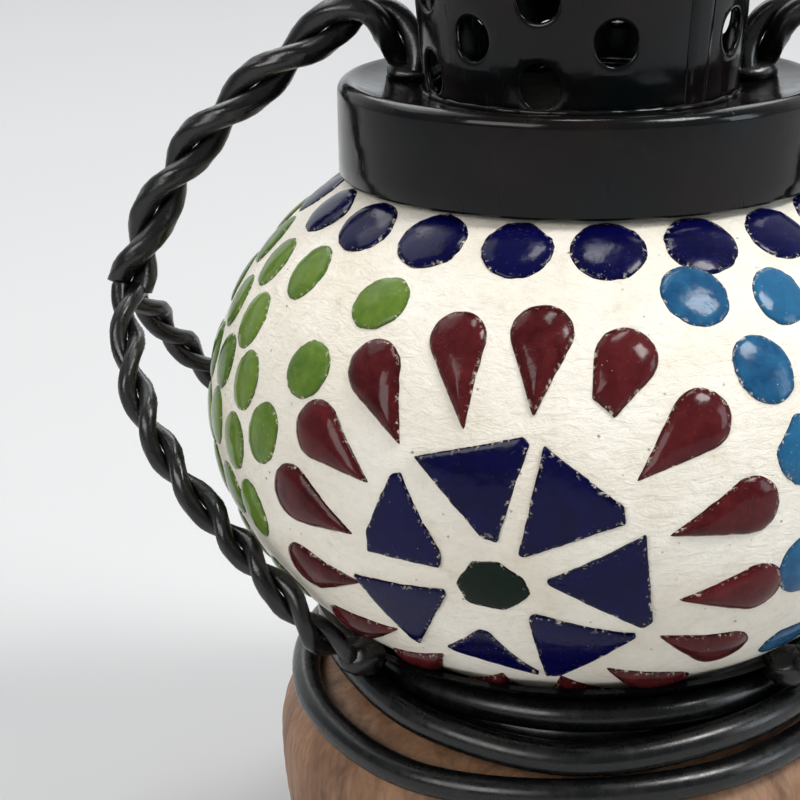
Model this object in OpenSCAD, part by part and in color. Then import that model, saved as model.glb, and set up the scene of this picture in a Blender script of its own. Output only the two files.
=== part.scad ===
// Mosaic glass table lamp: a mosaic globe held in a frame of twisted iron bars, with a pierced
// chimney and lift-off cap above, a turned wooden base below and the mains cord wound round it.
// Millimetres, +Z up. The origin is the middle of the underside, on the surface it stands on.

/* [Base] */
// Largest radius of the turned base
base_r = 52.3; // [50:0.1:54]
// Height of the base's widest line above the table
base_waist_z = 28.8; // [27:0.1:31]
// Height of the base's flat top
base_top_z = 42.8; // [41:0.1:44]
// Radius of the gentle curve below the widest line
base_flank_r = 80; // [70:1:100]
// Thickness of the felt pad
felt_t = 2; // [1:0.5:3]

/* [Globe] */
// Radius of the globe at its equator
globe_a = 62.5; // [61:0.1:63]
// Half of the globe's height, as a full ellipsoid
globe_c = 48; // [47:0.1:49]
// Height of the globe's centre
globe_z = 90; // [89:0.1:91]
// Thickness of the grout layer
grout_t = 1.2; // [0.8:0.1:1.4]
// Thickness of the glass under the grout
glass_t = 2; // [1.5:0.1:2.5]

/* [Mosaic] */
// Number of flowers round the globe
flowers = 3; // [3:1:3]
// Longitude of the front flower, positive to the right
flower_lon = -11.2; // [-30:0.1:30]
// Height of each flower's centre above the globe's centre
flower_dz = -11.5; // [-12:0.1:-6]
// Wedges in a flower
wedges = 7; // [5:1:8]
// Teardrops round a flower
drops = 16; // [12:1:18]
// Ovals in the row under the collar
top_ovals = 19; // [15:1:20]

/* [Collar and chimney] */
// Outer radius of the collar
collar_r = 40; // [39.5:0.1:40.5]
// Height of the collar's upper edge
collar_top_z = 144.4; // [144:0.1:145]
// Height of the collar's skirt
collar_h = 15.6; // [14.6:0.1:15.8]
// Outer radius of the chimney at its foot
chimney_r = 25.6; // [25:0.1:26]
// Growth of the chimney's radius for each millimetre of height
chimney_flare = 0.099; // [0.08:0.001:0.12]
// Height of the chimney
chimney_h = 42; // [40:1:46]
// Diameter of the pierced holes
vent_d = 7; // [5:0.5:7.5]
// Holes in each row
vents = 7; // [6:1:7]

/* [Frame] */
// Side of one bar of an arm
bar = 3.4; // [3:0.1:3.6]
// Side of one bar of a leg
leg_bar = 2.6; // [2.4:0.1:3]
// Length of one full twist of an arm
arm_pitch = 24; // [20:1:50]
// Length of one full twist of a leg
leg_pitch = 20; // [16:1:24]

/* [Cord] */
// Diameter of the round mains cord
cord_d = 5; // [4.8:0.1:6]

/* [Hidden] */

$fn = 96;
sheet = 1;               // sheet metal of the collar and gallery
chimney_sheet = 0.8;

// base
shoulder_r = base_top_z - base_waist_z;
base_flat_r = base_r - shoulder_r;
base_foot_r = base_r - base_flank_r + sqrt(pow(base_flank_r, 2) - pow(base_waist_z - felt_t, 2));
recess_r = 18;
recess_top_z = 14;
exit_z = 8;              // height of the cord's hole
exit_y = 70;             // end of the cord's grip
flex_hole_r = 3;
rod_r = 5;
rod_bore_r = 3.4;
rod_hole_r = 5.2;
rod_bottom_z = 7;
rod_top_z = 55;

// globe, gallery and lamp holder
mouth_r = 28;            // opening in the bottom of the globe
neck_r = 33.5;           // neck inside the collar
neck_top_z = 140.6;
gallery_gap = 1;
gallery_r = 44;
gallery_floor_r = 24;
holder_r = 13.5;
holder_z = 47.2;
holder_top_z = 82;
bulb_r = 13;
bulb_top_z = 128;
steps = 24;              // points in a curved outline

// mosaic
tile_low = -1.1;         // a tile's back below the grout's surface
tile_high = 0.4;         // and its face above it
oval_row_z = 35.2;
oval_row_lon = -12.4;
wedge_lon = 0.5;         // bearing of a flower's first wedge
wedge_chord = 15.5;      // distance of the wedges from a flower's centre
drop_lon = 81;
drop_chord = 36.3;
drop_spread = 2.2;       // teardrops lie this much further out at the right than at the left
// ovals along a flower's left and right edges: bearing and distance from its centre
left_arc = [[122, 43.8], [144, 43.5], [165, 45], [186, 47.5], [207, 49]];
right_arc = [[52, 47.2], [34, 49.8], [16, 49.6], [-6, 47], [-31, 52]];
// ovals between two flowers: longitude and height from the globe's centre
gap_ovals = [[-56, 27.6], [-70, 27.2], [-84, 27.4], [-64, 18.8], [-77, 18.8], [-58.7, 11], [-70, 11],
    [-80, 10], [-60.5, 0.5], [-70.5, 1.5], [-78.5, -0.5], [-65.5, -9], [-74.5, -9], [-69, -19.5]];

// collar, chimney and cap
foot_z = 142.2;          // where the chimney stands on the dished flange
rim_wire_r = 1.2;
chimney_top_z = foot_z + chimney_h;
first_row_dz = 4.2;
row_pitch = 6.7;
rows = 5;
first_vent_lon = -13.9;
seam_lon = 43.5;
seam_w = 5;
cap_brim_r = 36;
cap_z = chimney_top_z + rim_wire_r + 0.3;
cap_rise = 15;
spigot_r = 28.1;
spigot_depth = 6;
lug_z = cap_z + cap_rise + 5;
ring_r = 11;
ring_wire_r = 1.4;
ring_lean = 104;         // lean of the ring from upright, where it lies on the cap

// frame: centre lines of the left arm and the front left leg
arm_route = [[-28, 8, 142.8], [-29.4, 8, 148], [-32.4, 7.8, 152.4], [-36.4, 7.5, 153.9], [-40.6, 7, 152.4],
    [-45, 6.5, 149.2], [-49.6, 6, 145.8], [-54.4, 5.5, 142], [-59.1, 5, 137.9], [-63.5, 4.4, 133.5],
    [-67.2, 3.8, 128.9], [-70.4, 3, 123.8], [-73, 2, 118.6], [-75, 1, 113.4], [-76.8, 0, 108]];
leg_route = [[-76.8, -1, 108], [-76, -8, 103], [-73.6, -15.5, 96], [-70.4, -20.5, 90], [-66.4, -24, 84.4],
    [-61.6, -27.2, 79.4], [-56.2, -30.6, 74.9], [-51.1, -34.2, 70.7], [-46.8, -36.3, 66.7], [-43.4, -36.6, 62],
    [-39.4, -34.6, 57.6], [-34.6, -31.4, 53.8]];

// cord: centre lines of the stretches that aren't wound
riser_route = [[0, exit_y, exit_z], [0, 77, 8], [4, 86, 6.5], [13, 93, 4.2], [25, 96, 2.5],
    [38, 92, 2.5], [49, 83, 3.6], [56, 70, 7], [59, 55, 14], [58.5, 39, 22.5], [56.5, 22, 30.5]];
tail_route = [[-33.5, 47, 46.2], [-33, 55, 42.5], [-32, 64, 34], [-31.5, 72, 24], [-31, 80, 14],
    [-30, 89, 6.5], [-26, 99, 3.4], [-19, 108, 4], [-8, 114, 8.5]];
end_route = [[52, 114, 8.5], [60, 114, 6], [69, 116, 3.6], [78, 122, 2.5], [84, 131, 2.5],
    [85, 142, 2.5], [80, 152, 2.5], [71, 159, 3.6], [60, 162, 5.4], [50, 162, 6.6], [40, 162, 7]];
coil_in_r = 34.6;
coil_out_r = 55.6;
coil_top_z = 52;
coil_gap = 0.2;

// in-line switch and plug
switch_x = [-8, 52];
switch_y = 114;
switch_w = 22;
switch_split_z = 8.5;
switch_top_z = 17;
switch_wall = 1.8;
rocker_tilt = 8;
rocker_z = 14.6;
rocker_half = 9;
rocker_w = 10;
rocker_pin_r = 1.2;
plug_x = [-16, 20];
plug_y = 162;
plug_z = 7;
plug_t = 13.6;
boot_end_x = 40;
pin_spacing = 18.6;
pin_r = 2;
pin_l = 19;
pin_root_r = 1.5;        // the part of a pin held in the plug's body
pin_root_l = 8;
pin_root_out = 0.3;      // and how far it shows

// ---------- helpers ----------

function unit(v) = v / norm(v);

// Radius of an ellipsoid shell, inset by t, at height dz from the globe's centre
function shell_r(dz, t = 0) = (globe_a - t) * sqrt(max(0, 1 - pow(dz / (globe_c - t), 2)));

// Height from the centre at radius r, above (side 1) or below (side -1)
function shell_dz(r, t = 0, side = 1) = side * (globe_c - t) * sqrt(1 - pow(r / (globe_a - t), 2));

// Points [radius, height] along that shell between two heights from the centre
function shell_arc(dz0, dz1, t, n = steps) = [for (i = [0:n])
    let(a0 = asin(dz0 / (globe_c - t)), a1 = asin(dz1 / (globe_c - t)), a = a0 + (a1 - a0) * i / n)
    [(globe_a - t) * cos(a), globe_z + (globe_c - t) * sin(a)]];

function arc(cx, cy, r, a0, a1, n = steps) =
    [for (i = [0:n]) let(a = a0 + (a1 - a0) * i / n) [cx + r * cos(a), cy + r * sin(a)]];

function reversed(list) = [for (i = [len(list) - 1:-1:0]) list[i]];

// Smooth curve through pts, with k steps between neighbours
function curve_at(a, b, c, d, t) =
    0.5 * (2 * b + (c - a) * t + (2 * a - 5 * b + 4 * c - d) * t * t + (3 * b - a - 3 * c + d) * t * t * t);
function smooth(pts, k) = let(last = len(pts) - 1) [
    for (i = [0:last - 1]) for (j = [0:k - 1])
        curve_at(pts[max(i - 1, 0)], pts[i], pts[i + 1], pts[min(i + 2, last)], j / k),
    pts[last]];

function tangent(p, i) = unit(p[min(i + 1, len(p) - 1)] - p[max(i - 1, 0)]);
function lengths(p) = [for (i = 0, s = 0; i < len(p);
    s = s + (i < len(p) - 1 ? norm(p[i + 1] - p[i]) : 0), i = i + 1) s];

// Solid through a list of rings, each with the same number of points
module loft(rings) {
    m = len(rings[0]);
    n = len(rings);
    polyhedron(
        points = [for (r = rings) each r],
        faces = [
            [for (j = [0:m - 1]) j],
            [for (j = [m - 1:-1:0]) (n - 1) * m + j],
            for (i = [0:n - 2]) for (j = [0:m - 1]) let(k = (j + 1) % m)
                each [[i * m + j, (i + 1) * m + j, (i + 1) * m + k], [i * m + j, (i + 1) * m + k, i * m + k]]
        ],
        convexity = 10);
}

// Round tube solid along a route
module cord_tube(route, d = cord_d, k = 2, sides = 10, ref = [0.1, 0.2, 1]) {
    p = smooth(route, k);
    loft([for (i = [0:len(p) - 1])
        let(t = tangent(p, i), u = unit(ref - (ref * t) * t), v = cross(t, u))
        [for (j = [0:sides - 1]) p[i] + d / 2 * (cos(360 * j / sides) * u + sin(360 * j / sides) * v)]]);
}

// Square bars twisted together along a route. Each ref is the direction that the twist starts from.
module twisted_bars(route, bars, off, side, pitch, k, refs) {
    p = smooth(route, k);
    s = lengths(p);
    for (b = [0:bars - 1])
        loft([for (i = [0:len(p) - 1])
            let(t = tangent(p, i), r = refs(p[i]), u = unit(r - (r * t) * t), v = cross(t, u),
                a = 360 * (s[i] / pitch + b / bars), mid = p[i] + off * (cos(a) * u + sin(a) * v))
            [for (j = [0:3]) mid + side / sqrt(2) * (cos(a + 45 + 90 * j) * u + sin(a + 45 + 90 * j) * v)]]);
}

// ---------- mosaic ----------

function globe_normal(p) = unit([p.x / pow(globe_a, 2), p.y / pow(globe_a, 2), p.z / pow(globe_c, 2)]);
function lon_point(lon, dz) = [shell_r(dz) * sin(lon), -shell_r(dz) * cos(lon), dz];

// Point on the globe seen from a flower's centre at tangent distances x (right) and y (up)
function flower_point(lon, x, y) =
    let(f = lon_point(lon, flower_dz), n = globe_normal(f), e = unit(cross([0, 0, 1], n)), u = cross(n, e),
        q = f + x * e + y * u, m = [1 / pow(globe_a, 2), 1 / pow(globe_a, 2), 1 / pow(globe_c, 2)],
        nn = [n.x * m.x, n.y * m.y, n.z * m.z], qq = [q.x * m.x, q.y * m.y, q.z * m.z],
        a = nn * n, b = nn * q, c = qq * q - 1)
    q - n * (b - sqrt(max(0, b * b - a * c))) / a;

// The same by bearing (0 to the right, 90 up) and straight distance from the centre
function reach_of(lon, bearing, chord, s, left) = left == 0 ? s :
    let(p = flower_point(lon, s * cos(bearing), s * sin(bearing)), d = norm(p - lon_point(lon, flower_dz)))
    reach_of(lon, bearing, chord, s * chord / d, left - 1);
function flower_polar(lon, bearing, chord) =
    let(s = reach_of(lon, bearing, chord, chord * 0.97, 4)) flower_point(lon, s * cos(bearing), s * sin(bearing));

// Tile of a flat outline, centred on globe point p, with its +X along towards
module tile_at(p, towards) {
    n = globe_normal(p);
    x = unit(towards - (towards * n) * n);
    y = cross(n, x);
    multmatrix([[x.x, y.x, n.x, p.x], [x.y, y.y, n.y, p.y], [x.z, y.z, n.z, p.z + globe_z], [0, 0, 0, 1]])
        translate([0, 0, tile_low])
            linear_extrude(tile_high - tile_low) children();
}

// A tile in a flower, at a bearing and a distance from its centre
module petal(lon, bearing, chord) {
    p = flower_polar(lon, bearing, chord);
    tile_at(p, p - flower_polar(lon, bearing, chord - 3)) children();
}

module oval(long, wide) {
    polygon([for (i = [0:17]) [long / 2 * cos(20 * i), wide / 2 * sin(20 * i)]]);
}

module wedge_outline() {
    polygon([[-8, -0.8], [6, -7.8], [7, -6.6], [7, 6.6], [6, 7.8], [-8, 0.8]]);
}

// Teardrop with its head of radius r at the origin and its tip at -tail
module teardrop_outline(r, tail) {
    side = acos(r / tail);
    polygon(concat([[-tail, 0]], arc(0, 0, r, 180 - side, side - 180, 14)));
}

module each_flower() {
    for (k = [0:flowers - 1]) each_lon(flower_lon + 360 * k / flowers) children();
}

module each_lon(lon) {
    $lon = lon;
    children();
}

module tiles_flower_centres() {
    color("#0f3d24") each_flower() tile_at(lon_point($lon, flower_dz), [0, 0, 1]) circle(r = 5.2, $fn = 7);
}

module tiles_navy_wedges() {
    color("#1c1a5e") each_flower() for (k = [0:wedges - 1]) petal($lon, wedge_lon + 360 * k / wedges, wedge_chord)
        wedge_outline();
}

module tiles_red_teardrops() {
    color("#5c1018") each_flower() for (k = [0:drops - 1])
        let(b = drop_lon + 360 * k / drops) petal($lon, b, drop_chord + drop_spread * cos(b))
            teardrop_outline(4.4, 11.5);
}

module tiles_navy_ovals() {
    color("#1f1f6b") for (k = [0:top_ovals - 1])
        tile_at(lon_point(oval_row_lon + 360 * k / top_ovals, oval_row_z), [0, 0, 1]) oval(10.2, 10.8);
}

// The ovals that fill the space to the left of flower k
module gap_tiles(k) {
    turn = 360 * k / flowers;
    for (t = left_arc) petal(flower_lon + turn, t[0], t[1]) oval(8.8, 10);
    for (t = right_arc) petal(flower_lon + turn - 360 / flowers, t[0], t[1]) oval(8.8, 10);
    for (g = gap_ovals) tile_at(lon_point(g.x + turn, g.y), [0, 0, 1]) oval(9.4, 8.2);
}

module tiles_green_ovals() { color("#5fa02c") gap_tiles(0); }
module tiles_blue_ovals() { color("#1673b8") gap_tiles(1); }
module tiles_amber_ovals() { color("#d98a1e") gap_tiles(2); }

// ---------- base ----------

module base_felt() {
    color("#2b2b2b") cylinder(r = base_foot_r - 4, h = felt_t);
}

module wood_base() {
    low = atan2(felt_t + 2 - base_waist_z, base_flank_r);
    color("#8a6b4f") difference() {
        rotate_extrude() polygon(concat(
            [[0, felt_t], [base_foot_r - 2, felt_t]],
            arc(base_r - base_flank_r, base_waist_z, base_flank_r, low, 0, 10),
            arc(base_flat_r, base_waist_z, shoulder_r, 6, 90, 14),
            [[0, base_top_z]]));
        translate([0, 0, felt_t - 1]) cylinder(r = recess_r, h = recess_top_z - felt_t + 1);
        cylinder(r = rod_hole_r, h = base_top_z + 1);
        translate([0, 10, exit_z]) rotate([-90, 0, 0]) cylinder(r = flex_hole_r, h = base_r);
    }
}

module hex_nut(z, h) {
    translate([0, 0, z]) difference() {
        cylinder(r = 9.2, h = h, $fn = 6);
        translate([0, 0, -1]) cylinder(r = rod_r, h = h + 2);
    }
}

module bottom_nut() { color("#c9b36a") hex_nut(9, 3.4); }

module bottom_washer() {
    color("#b8b8b8") translate([0, 0, 12.4]) difference() {
        cylinder(r = 14, h = recess_top_z - 12.4);
        translate([0, 0, -1]) cylinder(r = rod_hole_r, h = 4);
    }
}

module threaded_rod() {
    color("#c9b36a") translate([0, 0, rod_bottom_z]) difference() {
        cylinder(r = rod_r, h = rod_top_z - rod_bottom_z);
        translate([0, 0, -1]) cylinder(r = rod_bore_r, h = rod_top_z);
    }
}

// Pressed dish under the globe that carries it and ends the frame's legs
module gallery_cup() {
    rim_dz = shell_dz(gallery_r, -gallery_gap, -1);
    knee_dz = shell_dz(gallery_floor_r + 5, -gallery_gap, -1);
    inner = shell_arc(knee_dz, rim_dz, -gallery_gap, 12);
    outer = shell_arc(knee_dz, rim_dz, -gallery_gap - sheet, 12);
    color("#17181a") rotate_extrude() polygon(concat(
        [[rod_hole_r, base_top_z], [gallery_floor_r, base_top_z]], outer, reversed(inner),
        [[gallery_floor_r, base_top_z + sheet], [rod_hole_r, base_top_z + sheet]]));
}

module gallery_nut() { color("#c9b36a") hex_nut(base_top_z + sheet, 3.2); }

// ---------- lamp holder and bulb ----------

module holder_shell() {
    color("#1c1c1c") rotate_extrude() polygon([[rod_r, holder_z], [9, holder_z], [holder_r, holder_z + 7],
        [holder_r, holder_top_z], [holder_r - 1.4, holder_top_z], [holder_r - 1.4, holder_z + 10],
        [rod_r, holder_z + 6]]);
}

module holder_insert() {
    color("#e8e4da") translate([0, 0, holder_z + 10.2]) difference() {
        cylinder(r = holder_r - 1.6, h = holder_top_z - holder_z - 11.4);
        translate([0, 0, 4]) cylinder(r = 7.3, h = 40);
        for (x = [-9.5, 9.5]) translate([x, 0, -1]) cylinder(r = 1.2, h = 40);
    }
}

module holder_contacts() {
    color("#c9a84c") {
        translate([0, 0, holder_z + 14.4]) cylinder(r = 2, h = 1.4);
        translate([0, 0, holder_z + 19]) difference() {
            cylinder(r = 7.2, h = 13);
            translate([0, 0, -1]) cylinder(r = 6.8, h = 20);
        }
    }
}

module inner_wires() {
    color("#7a5230") {
        for (x = [-1.2, 1.2])
            cord_tube([[x, 20, 8], [x, 14, 7], [x, 7, 4.6], [x, 1.6, 4.2], [x, 0, 6.5], [x, 0, 14], [x, 0, 30],
                [x, 0, 46], [x * 1.5, 0, 54], [x * 3, 0, 56.6]], d = 2, k = 2, sides = 8, ref = [1, 0.1, 0.2]);
        translate([0, 20, exit_z]) rotate([-90, 0, 0]) cylinder(d = cord_d, h = exit_y - 20.5);
    }
}

module bulb_cap() {
    color("#b5b5ad") translate([0, 0, holder_z + 15.9]) {
        cylinder(r1 = 2, r2 = 5, h = 3);
        translate([0, 0, 3]) cylinder(r = 6.7, h = 17.9);
    }
}

module bulb_glass() {
    low = holder_z + 36.9;
    top = bulb_top_z - bulb_r;
    color("#f2f0e6") rotate_extrude() polygon(concat(
        [[6.2, low], [7, low], [8, low + 3], [bulb_r, low + 10]], arc(0, top, bulb_r, 0, 90, 14),
        reversed(arc(0, top, bulb_r - 0.7, 0, 90, 14)), [[bulb_r - 0.7, low + 10.4], [7.2, low + 3.4]]));
}

module bulb_filament() {
    color("#8c8c8c") {
        for (x = [-4, 4]) translate([x, 0, holder_z + 36.9]) cylinder(r = 0.5, h = 22);
        translate([-4.5, 0, holder_z + 59]) rotate([0, 90, 0]) cylinder(r = 0.6, h = 9);
        translate([0, 0, holder_z + 36.9]) cylinder(r = 2.5, h = 8);
    }
}

// ---------- globe ----------

module globe_shell(t0, t1, neck_out, neck_in, low_r) {
    low0 = shell_dz(low_r, t0, -1);
    low1 = shell_dz(low_r, t1, -1);
    high0 = shell_dz(neck_out, t0);
    high1 = shell_dz(neck_in, t1);
    rotate_extrude() polygon(concat(shell_arc(low0, high0, t0), [[neck_out, neck_top_z], [neck_in, neck_top_z]],
        reversed(shell_arc(low1, high1, t1))));
}

module globe_glass() {
    color("#e9f1ee") globe_shell(grout_t, grout_t + glass_t, neck_r, neck_r - glass_t, mouth_r);
}

module globe_grout() {
    color("#ece8dc") globe_shell(0, grout_t, neck_r + 1.6, neck_r, mouth_r);
}

// ---------- collar, chimney and cap ----------

module collar() {
    low_z = collar_top_z - collar_h;
    hole_r = chimney_r - chimney_sheet - 1;
    inner_r = collar_r - sheet;
    color("#0d0e10") rotate_extrude() polygon(concat(
        [[inner_r, low_z], [collar_r - 0.2, low_z]],
        arc(collar_r - 1.6, collar_top_z - 1.6, 1.6, 0, 90, 6),
        [[chimney_r, foot_z], [hole_r, foot_z], [hole_r, foot_z - sheet], [chimney_r, foot_z - sheet],
            [inner_r, collar_top_z - sheet - 0.4]]));
}

function chimney_at(dz) = chimney_r + chimney_flare * dz;

module chimney() {
    color("#0d0e10") difference() {
        union() {
            rotate_extrude() polygon([[chimney_r - chimney_sheet, foot_z], [chimney_r, foot_z],
                [chimney_at(chimney_h), chimney_top_z], [chimney_at(chimney_h) - chimney_sheet, chimney_top_z]]);
            translate([0, 0, chimney_top_z]) rotate_extrude()
                translate([chimney_at(chimney_h), 0]) circle(r = rim_wire_r, $fn = 24);
            rotate([0, 0, seam_lon]) translate([0, -chimney_r, foot_z]) rotate([atan(chimney_flare), 0, 0])
                translate([-seam_w / 2, -0.5, 0]) cube([seam_w, 0.9, chimney_h]);
        }
        for (row = [0:rows - 1]) for (k = [0:vents - 1])
            if (!(row % 2 == 0 && k == 1))
                rotate([0, 0, first_vent_lon + 360 / vents * (k + (row % 2) / 2)])
                    translate([0, 0, foot_z + first_row_dz + row_pitch * row])
                        rotate([90, 0, 0]) translate([0, 0, 18]) cylinder(d = vent_d, h = 20);
    }
}

module cap_dome() {
    color("#0d0e10") difference() {
        rotate_extrude() polygon(concat(
            [[spigot_r - 0.8, cap_z - spigot_depth], [spigot_r, cap_z - spigot_depth], [spigot_r, cap_z],
                [cap_brim_r, cap_z], [cap_brim_r, cap_z + 1]],
            [for (i = [1:12]) [(cap_brim_r - 3) * cos(7.5 * i), cap_z + 1 + cap_rise * sin(7.5 * i)]],
            [for (i = [12:-1:2]) [(cap_brim_r - 4) * cos(7.5 * i), cap_z + cap_rise * sin(7.5 * i)]],
            [[spigot_r - 0.8, cap_z + 1]]));
        for (k = [0:7]) rotate([0, 0, 45 * k]) translate([20, 0, cap_z]) cylinder(d = 4, h = 30);
    }
}

module cap_lug() {
    color("#0d0e10") difference() {
        union() {
            translate([0, 0, cap_z + cap_rise + 1]) cylinder(r = 4, h = 1);
            translate([-1, -3.6, cap_z + cap_rise + 1.5]) cube([2, 7.2, lug_z - cap_z - cap_rise - 1.5]);
            translate([-1, 0, lug_z]) rotate([0, 90, 0]) cylinder(r = 3.6, h = 2, $fn = 48);
        }
        translate([-2, 0, lug_z]) rotate([0, 90, 0]) cylinder(r = 2.1, h = 4, $fn = 48);
    }
}

module lifting_ring() {
    color("#0d0e10") translate([0, 0, lug_z]) rotate([-ring_lean, 0, 0]) translate([0, 0, ring_r])
        rotate([90, 0, 0]) rotate_extrude() translate([ring_r, 0]) circle(r = ring_wire_r, $fn = 20);
}

// ---------- frame ----------

module arm_left() {
    color("#0d0e10") twisted_bars(arm_route, 2, bar * 0.52, bar, arm_pitch, 5, function(p) [0, 1, 0]);
}

module arm_right() { mirror([1, 0, 0]) arm_left(); }

module leg_front_left() {
    color("#0d0e10") twisted_bars(leg_route, 2, leg_bar * 0.52, leg_bar, leg_pitch, 5,
        function(p) [p.x, p.y, p.z - globe_z]);
}

module leg_front_right() { mirror([1, 0, 0]) leg_front_left(); }
module leg_back_left() { mirror([0, 1, 0]) leg_front_left(); }
module leg_back_right() { mirror([1, 0, 0]) leg_back_left(); }

// ---------- cord ----------

module cord_grip() {
    start_y = 46;
    color("#151515") translate([0, start_y, exit_z]) rotate([-90, 0, 0]) rotate_extrude() polygon([
        [cord_d / 2, 0], [flex_hole_r, 0], [flex_hole_r, 5.3], [5.6, 5.3], [5.6, 7],
        [3.5, exit_y - start_y], [cord_d / 2, exit_y - start_y]]);
}

module cord_riser() { color("#151515") cord_tube(riser_route); }

module cord_coil() {
    lie = shoulder_r + coil_gap;
    color("#151515") rotate_extrude() polygon(concat(
        [[coil_in_r, base_top_z + coil_gap]],
        reversed(arc(base_flat_r, base_waist_z, lie, 22, 90, 12)),
        [[coil_out_r, base_waist_z + 6], [coil_out_r, 41], [52, 46.8], [48.4, coil_top_z],
            [42.5, coil_top_z], [coil_in_r, 47]]));
}

module cord_tail() { color("#151515") cord_tube(tail_route); }
module cord_end() { color("#151515") cord_tube(end_route); }

// ---------- in-line switch ----------

switch_len = switch_x[1] - switch_x[0];
switch_mid = (switch_x[0] + switch_x[1]) / 2;

module switch_plan(inset) {
    translate([switch_mid, switch_y]) {
        square([36, switch_w - 2 * inset], center = true);
        for (s = [0, 1]) mirror([s, 0]) polygon([[17, -switch_w / 2 + inset], [24, -switch_w / 2 + inset],
            [switch_len / 2 - inset, -5.5 + inset], [switch_len / 2 - inset, 5.5 - inset],
            [24, switch_w / 2 - inset], [17, switch_w / 2 - inset]]);
    }
}

module switch_cord_hole() {
    translate([switch_x[0] - 1, switch_y, switch_split_z]) rotate([0, 90, 0])
        cylinder(d = cord_d + 0.1, h = switch_len + 2);
}

module switch_lower() {
    color("#151515") difference() {
        linear_extrude(switch_split_z) switch_plan(0);
        translate([0, 0, switch_wall]) linear_extrude(switch_split_z) intersection() {
            switch_plan(switch_wall);
            translate([switch_mid, switch_y]) square([44, 40], center = true);
        }
        switch_cord_hole();
        for (x = [-17, 17]) translate([switch_mid + x, switch_y, -1]) cylinder(r = 1.6, h = 4);
    }
}

module switch_upper() {
    color("#151515") difference() {
        union() {
            difference() {
                translate([0, 0, switch_split_z]) linear_extrude(switch_top_z - switch_split_z) switch_plan(0);
                translate([0, 0, switch_split_z - 1]) linear_extrude(switch_top_z - switch_split_z + 1 - switch_wall)
                    intersection() {
                        switch_plan(switch_wall);
                        translate([switch_mid, switch_y]) square([44, 40], center = true);
                    }
            }
            for (s = [-1, 1]) translate([switch_mid - 3, switch_y + s * 7 - 1.2, switch_split_z + 3])
                cube([6, 2.4, switch_top_z - switch_split_z - 4]);
        }
        translate([switch_mid - 10, switch_y - rocker_w / 2 - 0.4, switch_split_z + 2])
            cube([20, rocker_w + 0.8, 20]);
        translate([switch_mid, switch_y - 9, rocker_z]) rotate([-90, 0, 0])
            cylinder(r = rocker_pin_r + 0.05, h = 18, $fn = 48);
        switch_cord_hole();
    }
}

module switch_rocker() {
    color("#b01818") translate([switch_mid, switch_y, rocker_z]) rotate([0, rocker_tilt, 0]) {
        translate([0, rocker_w / 2, 0]) rotate([90, 0, 0]) linear_extrude(rocker_w) polygon([
            [-rocker_half, 0.4], [-rocker_half + 0.4, 3.9], [0, 3], [rocker_half - 0.4, 3.9],
            [rocker_half, 0.4], [5, -2.6], [-5, -2.6]]);
        translate([0, -7.4, 0]) rotate([-90, 0, 0]) cylinder(r = rocker_pin_r, h = 14.8, $fn = 48);
    }
}

module switch_contacts() {
    color("#c9a84c") for (x = [-13, 13])
        translate([switch_mid + x - 3, switch_y - 2, switch_wall]) cube([6, 4, 3.6]);
}

module switch_screws() {
    color("#b8b8b8") for (x = [-17, 17]) translate([switch_mid + x, switch_y, 0.3]) cylinder(r = 1.5, h = 1.5);
}

// ---------- plug ----------

module plug_body() {
    front = plug_x[0];
    back = plug_x[1];
    color("#151515") difference() {
        translate([0, plug_y, plug_z - plug_t / 2 + 0.1]) linear_extrude(plug_t - 0.1) polygon([
            [front, -17.6], [front + 8, -17.6], [front + 14, -14], [back - 6, -8], [back, -6.5],
            [back, 6.5], [back - 6, 8], [front + 14, 14], [front + 8, 17.6], [front, 17.6]]);
        for (s = [-1, 1]) translate([front - 1, plug_y + s * pin_spacing / 2, plug_z])
            rotate([0, 90, 0]) cylinder(r = pin_root_r, h = pin_root_l + 1);
    }
}

module plug_boot() {
    color("#151515") translate([plug_x[1], plug_y, plug_z]) rotate([0, 90, 0]) rotate_extrude() polygon([
        [0, 0], [5.4, 0], [3.4, boot_end_x - plug_x[1]], [0, boot_end_x - plug_x[1]]]);
}

module plug_pins() {
    color("#c8c8c4") for (s = [-1, 1]) translate([plug_x[0] - pin_l, plug_y + s * pin_spacing / 2, plug_z])
        rotate([0, 90, 0]) {
            cylinder(r = pin_r, h = pin_l - pin_root_out);
            cylinder(r = pin_root_r, h = pin_l + pin_root_l);
        }
}

// ---------- nodes ----------

base_felt();
wood_base();
bottom_nut();
bottom_washer();
threaded_rod();
gallery_cup();
gallery_nut();
holder_shell();
holder_insert();
holder_contacts();
inner_wires();
bulb_cap();
bulb_glass();
bulb_filament();
globe_glass();
globe_grout();
tiles_flower_centres();
tiles_navy_wedges();
tiles_red_teardrops();
tiles_navy_ovals();
tiles_green_ovals();
tiles_blue_ovals();
tiles_amber_ovals();
collar();
chimney();
arm_left();
arm_right();
leg_front_left();
leg_front_right();
leg_back_left();
leg_back_right();
cap_dome();
cap_lug();
lifting_ring();
cord_grip();
cord_riser();
cord_coil();
cord_tail();
cord_end();
switch_lower();
switch_upper();
switch_rocker();
switch_contacts();
switch_screws();
plug_boot();
plug_body();
plug_pins();
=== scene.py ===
"""Looks of the mosaic glass table lamp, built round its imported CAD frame. Metres, +Z up, -Y is the front."""
import math
import random

import bmesh
import bpy
from mathutils import Matrix, Vector, geometry, noise


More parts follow.
